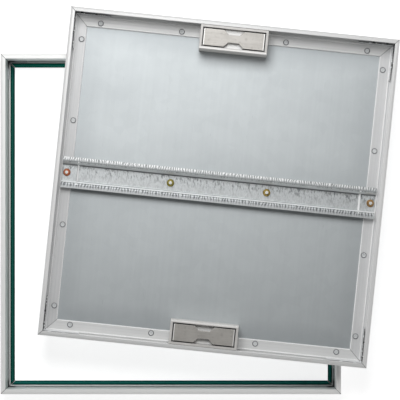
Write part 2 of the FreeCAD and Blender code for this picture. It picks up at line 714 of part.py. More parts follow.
def handle_housing(side, turn):
    """Hollow cast housing: rim, recess with a grooved seat, finger trough, pin bores and screw bosses."""
    body = new_body(f"{side}_handle_housing")
    half = "housing_length / 2"
    block = new_sketch(body, "block", "XY_Plane", along_z="plate_thickness")
    draw_rectangle(block, f"-1 * {half}", half, "housing_front", "housing_back")
    pad(body, block, "cover_height - plate_thickness")
    chamfer(body, level_edges("cover_height"), "housing_chamfer")
    hollow = new_sketch(body, "hollow", "XY_Plane", along_z="plate_thickness")
    draw_rectangle(hollow, f"-1 * ( {half} - housing_wall )", f"{half} - housing_wall",
                   "housing_front + housing_wall", "housing_back - housing_wall")
    pocket(body, hollow, "floor_under - plate_thickness", upward=True)
    tub = new_sketch(body, "tub", "XY_Plane", along_z="trough_level - trough_wall")
    draw_rectangle(tub, "-1 * ( trough_length / 2 + trough_wall )", "trough_length / 2 + trough_wall",
                   "housing_front + housing_wall / 2", "housing_back - housing_wall / 2")
    pad(body, tub, "floor_under + housing_floor / 2 - trough_level + trough_wall")
    recess_front, recess_back = "housing_middle - recess_width / 2", "housing_middle + recess_width / 2"
    recess = new_sketch(body, "recess", "XY_Plane", along_z="seat_level")
    draw_rectangle(recess, "-1 * recess_length / 2", "recess_length / 2", recess_front, recess_back)
    pocket(body, recess, upward=True)
    groove = new_sketch(body, "groove", "XY_Plane", along_z="seat_level - groove_depth")
    draw_rectangle(groove, "-1 * recess_length / 2", "recess_length / 2", recess_front, recess_back)
    draw_rectangle(groove, "-1 * seat_length / 2", "seat_length / 2",
                   "housing_middle - seat_width / 2", "housing_middle + seat_width / 2")
    pocket(body, groove, "groove_depth", upward=True)
    trough = new_sketch(body, "trough", "XY_Plane", along_z="trough_level")
    draw_rectangle(trough, "-1 * trough_length / 2", "trough_length / 2", recess_front, recess_back)
    pocket(body, trough, "trough_depth", upward=True)
    bosses = new_sketch(body, "bosses", "XY_Plane", along_z="plate_thickness")
    pilots = new_sketch(body, "pilots", "XY_Plane", along_z="plate_thickness")
    bores = new_sketch(body, "bores", "XY_Plane", along_z="floor_under")
    for sign in ("", "-1 * "):
        screw = f"{sign}screw_spacing / 2"
        draw_circle(bosses, screw, "screw_offset", "boss_diameter / 2")
        draw_circle(pilots, screw, "screw_offset", "screw_diameter / 2 + fit_clearance")
        draw_circle(bores, f"{sign}pin_reach", "housing_middle", "pin_diameter / 2 + pin_clearance")
    pad(body, bosses, "floor_under + housing_floor / 2 - plate_thickness")
    pocket(body, pilots, "screw_length + boss_relief - plate_thickness", upward=True)
    pocket(body, bores, "housing_floor", upward=True)
    steps = new_sketch(body, "steps", "YZ_Plane")
    draw_outline(steps, [
        ("flange_edge - housing_clearance", "-1 * cut_margin"),
        ("flange_edge - housing_clearance", "flange_top"),
        ("lip_inner - housing_clearance", "flange_top"),
        ("lip_inner - housing_clearance", "lip_top"),
        ("housing_back + cut_margin", "lip_top"),
        ("housing_back + cut_margin", "-1 * cut_margin"),
    ])
    pocket(body, steps, both_ways=True)
    place_on_cover(body, turn)


def lifting_plate(side, turn):
    """Dog-bone plate that pulls up out of its housing, notched for thumb and fingers."""
    body = new_body(f"{side}_lifting_plate")
    outline = new_sketch(body, "outline", "XY_Plane", along_y="housing_middle", along_z="lift_under")
    end, edge = "lift_length / 2", "lift_width / 2"
    quarter = [
        (end, edge),
        ("notch_mouth / 2", edge),
        ("notch_base / 2", f"{edge} - notch_depth"),
    ]
    upper = quarter + [(f"-1 * {x}", y) for x, y in reversed(quarter)]
    lower = [(x, f"-1 * ( {y} )") for x, y in reversed(upper)]
    draw_outline(outline, upper + lower)
    pad(body, outline, "lift_thickness")
    fillet(body, upright_edges, "lift_corner")
    chamfer(body, level_edges("lift_top"), "lift_chamfer")
    sockets = new_sketch(body, "sockets", "XY_Plane", along_y="housing_middle", along_z="lift_under")
    for sign in ("", "-1 * "):
        draw_circle(sockets, f"{sign}pin_reach", "0", "spigot_diameter / 2 + fit_clearance")
    pocket(body, sockets, "spigot_rise", upward=True)
    place_on_cover(body, turn)


def guide_pins(side, turn):
    """Two shouldered pins under a lifting plate, each riveted over its retaining washer."""
    body = new_body(f"{side}_guide_pins")
    section = new_sketch(body, "section", "XZ_Plane", along_x="pin_reach", along_z="-1 * housing_middle")
    draw_outline(section, [
        ("0", "washer_under - pin_tail_rise"),
        ("pin_tail / 2", "washer_under - pin_tail_rise"),
        ("pin_tail / 2", "washer_under"),
        ("pin_neck / 2", "washer_under"),
        ("pin_neck / 2", "washer_top"),
        ("pin_diameter / 2", "washer_top"),
        ("pin_diameter / 2", "lift_under"),
        ("spigot_diameter / 2", "lift_under"),
        ("spigot_diameter / 2", "lift_under + spigot_rise"),
        ("0", "lift_under + spigot_rise"),
    ])
    revolve(body, section)
    mirror(body, "YZ_Plane")
    place_on_cover(body, turn)


def retaining_washers(side, turn):
    """The washers that stop a lifting plate at the top of its travel."""
    body = new_body(f"{side}_retaining_washers")
    ring = new_sketch(body, "ring", "XY_Plane", along_x="pin_reach", along_y="housing_middle",
                      along_z="washer_under")
    draw_circle(ring, "0", "0", "washer_diameter / 2")
    draw_circle(ring, "0", "0", "pin_neck / 2 + fit_clearance")
    pad(body, ring, "washer_thickness")
    mirror(body, "YZ_Plane")
    place_on_cover(body, turn)


def housing_screws():
    """Screws from under the base plate into the bosses of both housings."""
    body = new_body("housing_screws")
    section = new_sketch(body, "section", "XZ_Plane", along_x="screw_spacing / 2",
                         along_z="-1 * screw_offset")
    draw_outline(section, [
        ("0", "-1 * screw_head_rise"),
        ("screw_head_crown / 2", "-1 * screw_head_rise"),
        ("screw_head / 2", "-1 * screw_head_rim"),
        ("screw_head / 2", "0"),
        ("screw_diameter / 2", "0"),
        ("screw_diameter / 2", "screw_length"),
        ("0", "screw_length"),
    ])
    revolve(body, section)
    mirror(body, "YZ_Plane")
    mirror(body, "XZ_Plane")
    place_on_cover(body)


def check_and_write():
    """Stops at any failed object or empty or broken shape, then writes one file for each sub-part."""
    doc.recompute()
    for item in doc.Objects:
        if "Invalid" in item.State or "Error" in item.State:
            raise RuntimeError(f"{item.Name} failed: {item.State}")
    for body in sub_parts:
        if body.Shape.isNull() or not body.Shape.isValid():
            raise RuntimeError(f"{body.Label} has no valid shape")
    os.makedirs("parts", exist_ok=True)
    for body in sub_parts:
        body.Shape.exportStep(f"parts/{body.Label}.step")


make_sheet()
for side, turn in SIDES.items():
    frame_rail(side, turn)
    seal_strip(side, turn)
    cover_rail(side, turn)
for corner, turn in CORNERS.items():
    frame_cleat(corner, turn)
    corner_angle(corner, turn)
base_plate()
rivets()
stiffener_channel()
channel_bolts()
flange_nuts("end_flange_nuts", "bolt_outer", "end_nut_seat")
flange_nuts("inner_flange_nuts", "bolt_inner", "inner_nut_seat")
for side, turn in HANDLES.items():
    handle_housing(side, turn)
    lifting_plate(side, turn)
    guide_pins(side, turn)
    retaining_washers(side, turn)
housing_screws()
check_and_write()
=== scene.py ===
import math

import bpy
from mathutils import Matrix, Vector


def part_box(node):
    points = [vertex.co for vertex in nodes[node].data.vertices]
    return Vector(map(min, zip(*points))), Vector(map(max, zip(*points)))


# Floor access cover: finishes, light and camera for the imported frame, tray cover and pull-up handles.
# Metres, in the part's own frame, +Z up.

CORNERS = ("upper_right", "upper_left", "lower_left", "lower_right")
HANDLES = ("upper", "lower")
QUARTER_TURN = math.pi / 2

# Camera: straight down, with its axis below the middle of the picture
CAMERA_HEIGHT = 3.4
CAMERA_X = 0.0551
CAMERA_Y = -0.0076
CAMERA_LENS_MM = 159.4
CAMERA_SENSOR_MM = 36.0
CAMERA_SHIFT_Y = 0.07

# Floor and world
FLOOR_HALF = 30.0
FLOOR_DROP = 0.0004
FLOOR_TONE = (0.66, 0.66, 0.66)
FLOOR_GLOW = 0.74
WORLD_RIM = 1.0
WORLD_RIM_TOP = (0.12, 0.24)
WORLD_HORIZON = 0.74
WORLD_ZENITH = 0.03
WORLD_SKY_FADE = (0.45, 0.85)

# Key lamp: a soft square, high up beyond the cover's upper side
KEY_PLACE = Vector((-0.1, 0.89, 1.69))
KEY_TARGET = Vector((0.05, 0.05, 0.06))
KEY_SIDE = 0.86
KEY_POWER = 20.3

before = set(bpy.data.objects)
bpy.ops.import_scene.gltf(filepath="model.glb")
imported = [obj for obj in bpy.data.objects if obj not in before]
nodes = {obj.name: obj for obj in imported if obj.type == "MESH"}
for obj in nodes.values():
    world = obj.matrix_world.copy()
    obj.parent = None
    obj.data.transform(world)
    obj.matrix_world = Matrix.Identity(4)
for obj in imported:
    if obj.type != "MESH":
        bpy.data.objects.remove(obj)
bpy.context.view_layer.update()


def middle(node):
    """The middle of a node's box."""
    low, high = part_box(node)
    return (low + high) / 2


# The frame's middle and outer faces, and the tray cover's own frame: its middle, and its turn from the
# line between its two handles
FRAME_MIDDLE = Vector((0, 0, 0))
FRAME_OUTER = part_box("upper_frame_rail")[1].y
COVER_MIDDLE = middle("base_plate")
handle_line = middle("upper_lifting_plate") - middle("lower_lifting_plate")
COVER_TURN = -math.atan2(handle_line.x, handle_line.y)
HANDLE_REACH = handle_line.length / 2


def srgb(red, green, blue):
    """A colour given as it looks on screen, 0 to 255, as the linear colour that a shader takes."""
    def linear(level):
        level /= 255
        return level / 12.92 if level <= 0.04045 else ((level + 0.055) / 1.055) ** 2.4
    return (linear(red), linear(green), linear(blue), 1.0)


NOISE_MIDDLE = (0.3, 0.7)
EDGE_MATCH = (0.995, 0.9)


class Look:
    """One procedural metal or rubber: a Principled shader fed from noise in a turned frame."""

    def __init__(self, name, turn=0.0, origin=FRAME_MIDDLE):
        self.material = bpy.data.materials.new(name)
        self.material.use_nodes = True
        self.tree = self.material.node_tree
        self.shader = self.tree.nodes["Principled BSDF"]
        coordinates = self.node("ShaderNodeTexCoord")
        turned = self.node("ShaderNodeMapping", {"Location": origin, "Rotation": (0, 0, turn)},
                           vector_type="TEXTURE")
        self.link(coordinates.outputs["Object"], turned.inputs["Vector"])
        self.place = turned.outputs["Vector"]

    def link(self, output, socket):
        """Feeds a socket from a node's output."""
        self.tree.links.new(output, socket)

    def node(self, kind, inputs=None, **settings):
        """Adds a node. An input is a value for its socket, or another node's output to link."""
        made = self.tree.nodes.new(kind)
        for name, value in settings.items():
            setattr(made, name, value)
        for name, value in (inputs or {}).items():
            if isinstance(value, bpy.types.NodeSocket):
                self.link(value, made.inputs[name])
            else:
                made.inputs[name].default_value = value
        return made

    def set(self, **inputs):
        """Sets constants on the shader's own sockets, named with _ for a space."""
        for name, value in inputs.items():
            self.shader.inputs[name.replace("_", " ").title().replace("Ior", "IOR")].default_value = value

    def stretched(self, along, across, slant=0.0):
        """The place, turned by the slant, with one count per metre along X and one across it."""
        scale = (along, across, across)
        leaning = self.node("ShaderNodeVectorRotate", {"Vector": self.place, "Angle": slant},
                            rotation_type="Z_AXIS")
        made = self.node("ShaderNodeVectorMath", {0: leaning.outputs[0], 1: scale}, operation="MULTIPLY")
        return made.outputs[0]

    def noise(self, along, across, detail=3.0, roughness=0.55, slant=0.0):
        """Cloudy noise from 0 to 1 with that many waves per metre along X and across it."""
        made = self.node("ShaderNodeTexNoise", {
            "Vector": self.stretched(along, across, slant), "Scale": 1.0, "Detail": detail,
            "Roughness": roughness})
        return made.outputs["Fac"]

    def crystals(self, per_metre):
        """A random level from 0 to 1 for each cell of a crystal pattern with that many to the metre."""
        made = self.node("ShaderNodeTexVoronoi", {
            "Vector": self.stretched(per_metre, per_metre), "Scale": 1.0, "Randomness": 1.0})
        split = self.node("ShaderNodeSeparateColor", {"Color": made.outputs["Color"]})
        return split.outputs["Red"]

    def ticks(self, per_metre, jitter):
        """Marks across the X axis from 0 to 1, evenly spaced but for a jitter in radians."""
        drift = self.remap(self.noise(90, 90, detail=2), 0.2, 0.8, 0, jitter)
        phase = self.times(self.axis("X"), 2 * math.pi * per_metre)
        return self.remap(self.sums("SINE", self.sums("ADD", phase, drift), 0), -1, 1, 0, 1)

    def blend(self, share, first, second):
        """A level from the first to the second as the share goes from 0 to 1."""
        return self.node("ShaderNodeMix", {"Factor": share, "A": first, "B": second}).outputs["Result"]

    def remap(self, value, low, high, to_low, to_high):
        """The value moved from one range to another and held to its ends."""
        made = self.node("ShaderNodeMapRange", {
            "Value": value, "From Min": low, "From Max": high, "To Min": to_low, "To Max": to_high})
        return made.outputs["Result"]

    def spread(self, noise, to_low, to_high):
        """Noise, which mostly keeps to the middle of its range, spread from one level to another."""
        return self.remap(noise, *NOISE_MIDDLE, to_low, to_high)

    def band(self, value, low, high, soft):
        """1 where the value lies between two levels, fading to 0 over the soft width beside them."""
        rise = self.remap(value, low - soft, low, 0, 1)
        return self.times(rise, self.remap(value, high, high + soft, 1, 0))

    def sums(self, operation, first, second):
        """One operation on two levels."""
        return self.node("ShaderNodeMath", {0: first, 1: second}, operation=operation).outputs[0]

    def times(self, first, second):
        """One level times another."""
        return self.sums("MULTIPLY", first, second)

    def mix(self, share, first, second):
        """Colour from the first to the second as the share goes from 0 to 1."""
        made = self.node("ShaderNodeMix", data_type="RGBA")
        sockets = {"Factor_Float": share, "A_Color": first, "B_Color": second}
        for socket in made.inputs:
            if socket.identifier in sockets:
                value = sockets[socket.identifier]
                if isinstance(value, bpy.types.NodeSocket):
                    self.link(value, socket)
                else:
                    socket.default_value = value
        return next(output for output in made.outputs if output.identifier == "Result_Color")

    def facing_up(self):
        """How far the surface faces up, from -1 to 1."""
        geometry = self.node("ShaderNodeNewGeometry")
        return self.node("ShaderNodeSeparateXYZ", {0: geometry.outputs["Normal"]}).outputs["Z"]

    def axis(self, name):
        """One coordinate of the place."""
        return self.node("ShaderNodeSeparateXYZ", {0: self.place}).outputs[name]

    def distance(self, name):
        """The distance from the middle along one axis."""
        return self.sums("ABSOLUTE", self.axis(name), 0)

    def crevice(self, reach):
        """1 in the open, less in corners and gaps narrower than the reach."""
        return self.node("ShaderNodeAmbientOcclusion", {"Distance": reach}, samples=8).outputs["AO"]

    def edge_normal(self, radius):
        """The surface's normal with every edge rounded to the radius."""
        return self.node("ShaderNodeBevel", {"Radius": radius}, samples=4).outputs["Normal"]

    def edge_wear_and_highlight(self, rounded):
        """1 along the edges that the rounded normal turns away on, 0 on flat ground: where wear and painted
        highlight go.
        """
        geometry = self.node("ShaderNodeNewGeometry")
        match = self.node("ShaderNodeVectorMath", {0: rounded, 1: geometry.outputs["Normal"]},
                          operation="DOT_PRODUCT")
        return self.remap(match.outputs["Value"], *EDGE_MATCH, 0, 1)

    def colour(self, value):
        """Feeds the shader's colour."""
        self.link(value, self.shader.inputs["Base Color"])

    def rough(self, value):
        """Feeds the shader's roughness."""
        self.link(value, self.shader.inputs["Roughness"])

    def bump(self, height, strength, depth, normal=None):
        """Raises the surface by the height times the depth, over another normal if one is given."""
        made = self.node("ShaderNodeBump", {"Height": height, "Strength": strength, "Distance": depth})
        if normal:
            self.link(normal, made.inputs["Normal"])
        self.link(made.outputs["Normal"], self.shader.inputs["Normal"])


# Finishes: radii of rounded edges, fades beside painted lines, and how far painted shade reaches out of a
# corner
FINE_EDGE = 0.0006
BOLD_EDGE = 0.0011
LINE_FADE = 0.0003
FOLD_FADE = 0.0004
GROOVE_REACH = 0.004
GAP_REACH = 0.003

# Heights: where a rail's head begins, the crest of the seal's rib, and a housing's floors under its plate
HEAD_HEIGHTS = (0.02, 0.03)
RIB_CREST = (0.0068, 0.0098)
HOUSING_FLOOR = (0.0443, 0.0448)

# Distances from the frame's middle, or from the cover's middle along its own axes
CLEAT_CORNER = (0.294, 0.301)
MITRE_LINE = (0.00045, 0.0009)
COVER_OUTER = 0.307
# Where the cover rails' painted highlight lines lie: the flange's inner edge and the bead's top
FLANGE_EDGE = (0.2768, 0.2784)
BEAD_TOP = (0.2962, 0.2976)
PLATE_BORDER = (0.235, 0.278)
ANGLE_OUTER_HALF = (0.2983, 0.2986)
LOWER_LEG_EDGE = (-0.2975, -0.2965)
STIFFENER_HALVES = (-0.006, 0.008)
UPPER_LIP_START = 0.0208
LOWER_LIP_START = 0.0178
LIP_END = 0.0292
# Where the stiffener's painted highlight lines and painted shadow line lie
LOWER_HIGHLIGHT_LINE = (-0.0182, -0.0159)
UPPER_FOLD_SHADOW_LINE = (0.0138, 0.0156)
RAMP_HIGHLIGHT_LINE = (0.2645, 0.2673)
NUT_HALVES = (-0.05, 0.05)

# Distances from a handle's middle
LIFT_HALF_LENGTH = 0.057
LIFT_HALF_WIDTH = 0.016
PLATE_END_HIGHLIGHT = (0.0553, 0.0566)
NOTCH_EDGE = (0.0165, 0.0171)
GAP_SHADE_LINE = (-0.0003, 0.0012)
FRONT_RIM_HIGHLIGHT = (-0.0228, -0.0198)

# Tones that several finishes share
FRAME_TONES = (srgb(238, 239, 238), srgb(250, 250, 248))
COVER_TONES = (srgb(206, 207, 207), srgb(223, 223, 222))
COVER_HEAD_TONES = (srgb(206, 207, 207), srgb(222, 222, 221))
# Painted light and shade: the left and right rails' flanges are painted darker and their heads lighter than
# the upper and lower rails'
COVER_LEFT_SHADED_TONES = (srgb(193, 194, 195), srgb(209, 209, 209))
COVER_RIGHT_SHADED_TONES = (srgb(200, 201, 202), srgb(216, 216, 216))
COVER_SIDE_HEAD_LIT_TONES = (srgb(216, 217, 217), srgb(232, 232, 231))
OUTER_TONES = (srgb(200, 202, 203), srgb(216, 217, 217))
# Pale aluminium for edges, as wear and painted highlight, and as painted light on inner walls and lines
ALUMINIUM_WEAR_AND_HIGHLIGHT = srgb(254, 254, 254)
ALUMINIUM_SEAM = srgb(70, 72, 74)
# Painted shade for grooves and corners, tinted green as a painted reflection of the seal
ALUMINIUM_CREVICE_SHADE = srgb(84, 98, 95)
GAP_SHADE = srgb(14, 14, 14)


def extruded_aluminium(name, tones, head_tones, lit_wall, outer, turn, origin, crevice_shade=0.0, pale_lines=0.0):
    """Mill-finish extrusion: die lines, bright edges, dark mitre lines, painted shade in grooves and
    painted highlight lines.
    """
    look = Look(name, turn, origin)
    lines = look.noise(1.5, 420, detail=4)
    cloud = look.noise(9, 22, detail=4)
    share = look.sums("ADD", look.spread(lines, 0, 0.6), look.spread(cloud, 0, 0.4))
    # Painted light: upright faces inside take the lit colour given for the walls, outer faces a plain tone
    upright = look.remap(look.facing_up(), 0.2, 0.6, 0.8, 0)
    along = look.distance("X")
    across = look.distance("Y")
    reach = look.sums("MAXIMUM", along, across)
    outside = look.remap(reach, outer - 2 * LINE_FADE, outer - LINE_FADE, 0, 1)
    head = look.remap(look.axis("Z"), *HEAD_HEIGHTS, 0, 1)
    skin = look.mix(head, look.mix(share, *tones), look.mix(share, *head_tones))
    skin = look.mix(upright, skin, look.mix(outside, lit_wall, look.mix(share, *OUTER_TONES)))
    rounded = look.edge_normal(BOLD_EDGE)
    # Edges brightened as wear and painted highlight
    worn_and_highlit = look.mix(look.times(look.edge_wear_and_highlight(rounded), 0.8), skin, ALUMINIUM_WEAR_AND_HIGHLIGHT)
    # Painted shade: darker where the frame's grooves and corners close in
    if crevice_shade:
        crevice_shade_share = look.remap(look.crevice(GROOVE_REACH), 0.3, 0.75, crevice_shade, 0)
        worn_and_highlit = look.mix(crevice_shade_share, worn_and_highlit, ALUMINIUM_CREVICE_SHADE)
    # Painted highlight lines on the flange's inner edge and the bead's top, stronger on some sides than
    # others
    if pale_lines:
        flange_edge = look.band(reach, *FLANGE_EDGE, LINE_FADE)
        highlight_lines = look.sums("MAXIMUM", flange_edge, look.band(reach, *BEAD_TOP, LINE_FADE))
        worn_and_highlit = look.mix(look.times(highlight_lines, pale_lines), worn_and_highlit, ALUMINIUM_WEAR_AND_HIGHLIGHT)
    off_mitre = look.sums("ABSOLUTE", look.sums("SUBTRACT", along, across), 0)
    seam = look.remap(off_mitre, *MITRE_LINE, 0.75, 0)
    look.colour(look.mix(seam, worn_and_highlit, ALUMINIUM_SEAM))
    look.rough(look.spread(lines, 0.5, 0.42))
    look.bump(lines, strength=0.1, depth=0.0002, normal=rounded)
    look.set(metallic=0.2)
    return look


def galvanised_plate():
    """Smooth galvanised sheet: faint clouds, crystals and rolling lines, scratches, and darker towards its
    border.
    """
    look = Look("rolled_zinc_sheet", COVER_TURN, COVER_MIDDLE)
    cloud = look.noise(5, 9, detail=5)
    lines = look.noise(140, 1.2, detail=3)
    flakes = look.crystals(60)
    scratches = look.noise(330, 45, detail=1)
    share = look.sums("ADD", look.remap(cloud, 0.25, 0.75, 0, 0.34), look.remap(flakes, 0, 1, 0, 0.16))
    share = look.sums("ADD", share, look.spread(lines, 0.04, 0.2))
    share = look.sums("SUBTRACT", share, look.remap(scratches, 0.74, 0.82, 0, 0.8))
    sheet = look.mix(share, srgb(189, 194, 196), srgb(207, 212, 213))
    x_border = look.remap(look.distance("X"), *PLATE_BORDER, 0, 0.35)
    y_border = look.remap(look.distance("Y"), *PLATE_BORDER, 0, 0.6)
    look.colour(look.mix(look.sums("MAXIMUM", x_border, y_border), sheet, srgb(166, 171, 174)))
    look.rough(look.remap(cloud, 0.25, 0.75, 0.59, 0.56))
    look.bump(lines, strength=0.02, depth=0.0003)
    look.set(metallic=1.0)
    return look


def spangled_channel():
    """Hot-dipped sheet folded into a channel: feathery crystal strokes across it, painted light and shade
    on its lips and legs, and painted highlights and a painted shadow along its folds.
    """
    look = Look("spangled_channel", COVER_TURN, COVER_MIDDLE)
    across = look.axis("Y")
    upper = look.remap(across, *STIFFENER_HALVES, 0, 1)
    off_middle = look.sums("ABSOLUTE", across, 0)
    lip_start = look.remap(upper, 0, 1, LOWER_LIP_START, UPPER_LIP_START)
    lip = look.sums("GREATER_THAN", off_middle, lip_start)
    outward = look.remap(off_middle, LOWER_LIP_START, LIP_END, 0, 1)
    feathers = look.noise(340, 110, detail=4, roughness=0.7, slant=0.3)
    feathers = look.blend(0.3, feathers, look.ticks(215, 9))
    strokes = look.noise(320, 120, detail=4, roughness=0.7, slant=-0.15)
    notches = look.blend(0.36, strokes, look.ticks(185, 7))
    fine = look.noise(900, 260, detail=3)
    web = look.mix(look.spread(fine, 0, 1), srgb(190, 194, 195), srgb(213, 216, 217))
    web_strokes = look.remap(strokes, 0.5, 0.6, 0, 1)
    web_strokes = look.times(web_strokes, look.remap(upper, 0, 1, 0.2, 0.75))
    web = look.mix(web_strokes, web, srgb(96, 100, 103))
    # Painted light and shade: the upper lip is flecked bright and the lower lip streaked dark
    lit = look.remap(feathers, 0.36, 0.62, 0, 1)
    lit = look.times(lit, look.remap(outward, 0.4, 0.7, 0.1, 1))
    upper_lip = look.mix(lit, srgb(156, 160, 161), srgb(248, 249, 249))
    dark = look.remap(notches, 0.42, 0.66, 0, 1)
    dark = look.times(dark, look.remap(outward, 0.5, 0.8, 0.95, 0.1))
    lower_lip = look.mix(dark, srgb(196, 199, 200), srgb(98, 102, 105))
    skin = look.mix(lip, web, look.mix(upper, lower_lip, upper_lip))
    along = look.distance("X")
    tilt = look.facing_up()
    # Painted light and shade on the legs: the upper leg, which lies in shade, is painted lighter and the
    # lower leg darker
    leg = look.band(tilt, 0.15, 0.45, 0.1)
    leg = look.times(leg, look.sums("LESS_THAN", off_middle, lip_start))
    skin = look.mix(leg, skin, look.mix(upper, srgb(178, 182, 183), srgb(232, 235, 235)))
    # Painted shadow line where the upper leg meets the web
    skin = look.mix(look.band(across, *UPPER_FOLD_SHADOW_LINE, FOLD_FADE), skin, srgb(124, 127, 128))
    # Painted highlights: a bright line on the lower fold and on each joggle ramp
    ramp_highlight = look.band(tilt, 0.6, 0.96, 0.03)
    ramp_highlight = look.times(ramp_highlight, look.band(along, *RAMP_HIGHLIGHT_LINE, FOLD_FADE))
    painted_highlights = look.sums("MAXIMUM", look.band(across, *LOWER_HIGHLIGHT_LINE, LINE_FADE), ramp_highlight)
    look.colour(look.mix(painted_highlights, skin, srgb(252, 253, 253)))
    look.rough(look.spread(strokes, 0.5, 0.38))
    look.bump(fine, strength=0.15, depth=0.0002, normal=look.edge_normal(FINE_EDGE))
    look.set(metallic=0.55)
    return look


def seal_rubber(name, deep, pale, pale_lines):
    """Green rubber, a little paler at the rib's crest."""
    look = Look(name)
    grain = look.noise(260, 260, detail=3)
    crest = look.remap(look.axis("Z"), *RIB_CREST, 0, 1)
    body = look.mix(look.spread(grain, 0, 1), deep, pale)
    look.colour(look.mix(crest, body, pale_lines))
    look.set(specular_ior_level=0.12)
    look.rough(look.spread(grain, 0.6, 0.72))
    look.bump(grain, strength=0.2, depth=0.0003)
    return look


def plain_metal(name, pale, deep, roughness, metallic):
    """Small metal pieces: uneven plating over a fine grain."""
    look = Look(name)
    patches = look.noise(45, 45, detail=4)
    grain = look.noise(900, 900, detail=2)
    look.colour(look.mix(look.spread(patches, 0, 1), deep, pale))
    look.rough(look.spread(grain, roughness - 0.06, roughness + 0.06))
    look.bump(grain, strength=0.08, depth=0.0001)
    look.set(metallic=metallic)
    return look


def passivated_nuts(name, left, right):
    """Zinc nuts with a coloured passivation that differs from one end of the stiffener to the other."""
    look = Look(name, COVER_TURN, COVER_MIDDLE)
    patches = look.noise(320, 320, detail=4)
    tint = look.mix(look.remap(look.axis("X"), *NUT_HALVES, 0, 1), left, right)
    rounded = look.edge_normal(FINE_EDGE)
    bright = look.mix(look.remap(patches, 0.45, 0.7, 0, 0.4), tint, srgb(226, 208, 160))
    # Painted shade: faces that slope away from straight up are darker; edges are brighter as wear and
    # painted highlight
    level = look.remap(look.facing_up(), 0.55, 0.97, 0, 1)
    shaded = look.mix(level, srgb(70, 52, 28), bright)
    look.colour(look.mix(look.times(look.edge_wear_and_highlight(rounded), 0.35), shaded, srgb(240, 226, 190)))
    look.rough(look.spread(patches, 0.3, 0.42))
    look.bump(patches, strength=0.1, depth=0.0002, normal=rounded)
    look.set(metallic=0.7)
    return look


def rivet_aluminium():
    """Rivet heads: a satin crown, with a dark ring painted as shade on the slope round it."""
    look = Look("rivet_heads", COVER_TURN, COVER_MIDDLE)
    patches = look.noise(300, 300, detail=3)
    rounded = look.edge_normal(FINE_EDGE)
    # Painted shade: the slope round the crown is dark
    crown = look.remap(look.facing_up(), 0.75, 0.97, 0, 1)
    satin = look.mix(look.spread(patches, 0, 1), srgb(204, 206, 207), srgb(224, 226, 227))
    ring_shaded = look.mix(crown, srgb(84, 87, 89), satin)
    look.colour(look.mix(look.times(look.edge_wear_and_highlight(rounded), 0.3), ring_shaded, srgb(246, 247, 247)))
    look.rough(look.spread(patches, 0.5, 0.6))
    look.bump(patches, strength=0.1, depth=0.0001, normal=rounded)
    look.set(metallic=0.25)
    return look


def corner_cleat():
    """Sawn cleats in the frame's groove, darker where it turns the corner."""
    look = Look("sawn_aluminium")
    patches = look.noise(300, 300, detail=3)
    clean = look.mix(look.spread(patches, 0, 1), srgb(160, 163, 166), srgb(190, 193, 195))
    nearer = look.sums("MINIMUM", look.distance("X"), look.distance("Y"))
    cornering = look.remap(nearer, *CLEAT_CORNER, 0, 0.9)
    look.colour(look.mix(cornering, clean, srgb(40, 44, 44)))
    look.rough(look.spread(patches, 0.4, 0.52))
    look.bump(patches, strength=0.1, depth=0.0002)
    look.set(metallic=0.5)
    return look


def staked_steel():
    """Corner angles: the outer half of each top painted dark as shade, with pale flecks, plain sides, and
    painted light along the lower rail.
    """
    look = Look("staked_angle", COVER_TURN, COVER_MIDDLE)
    flecks = look.noise(340, 340, detail=3)
    reach = look.sums("MAXIMUM", look.distance("X"), look.distance("Y"))
    # Painted shade: the outer half of each top is dark, but for pale flecks
    pale = look.remap(reach, *ANGLE_OUTER_HALF, 1, 0)
    pale = look.sums("MAXIMUM", pale, look.remap(flecks, 0.54, 0.62, 0, 1))
    top = look.mix(pale, srgb(40, 42, 44), srgb(242, 243, 243))
    skin = look.mix(look.remap(look.facing_up(), 0.3, 0.8, 0, 1), srgb(182, 184, 186), top)
    # Painted light: the legs along the lower rail are painted pale
    lower_leg = look.remap(look.axis("Y"), *LOWER_LEG_EDGE, 1, 0)
    look.colour(look.mix(lower_leg, skin, srgb(222, 223, 224)))
    look.rough(look.spread(flecks, 0.36, 0.5))
    look.bump(flecks, strength=0.1, depth=0.0002, normal=look.edge_normal(FINE_EDGE))
    look.set(metallic=0.3)
    return look


def off_handle(look):
    """How far out a point lies from the line along a handle's middle."""
    return look.sums("SUBTRACT", look.distance("Y"), HANDLE_REACH)


def handle_gap_shade(look):
    """Where shade is painted: 1 in a handle's crevices and along the gap round its plate, apart from the
    finger notches.
    """
    along = look.distance("X")
    beyond_ends = look.sums("SUBTRACT", along, LIFT_HALF_LENGTH)
    beyond_sides = look.sums("SUBTRACT", look.sums("ABSOLUTE", off_handle(look), 0), LIFT_HALF_WIDTH)
    line = look.band(look.sums("MAXIMUM", beyond_ends, beyond_sides), *GAP_SHADE_LINE, LINE_FADE)
    line = look.times(line, look.remap(along, *NOTCH_EDGE, 0, 0.85))
    return look.sums("MAXIMUM", look.remap(look.crevice(GAP_REACH), 0.35, 0.85, 1, 0), line)


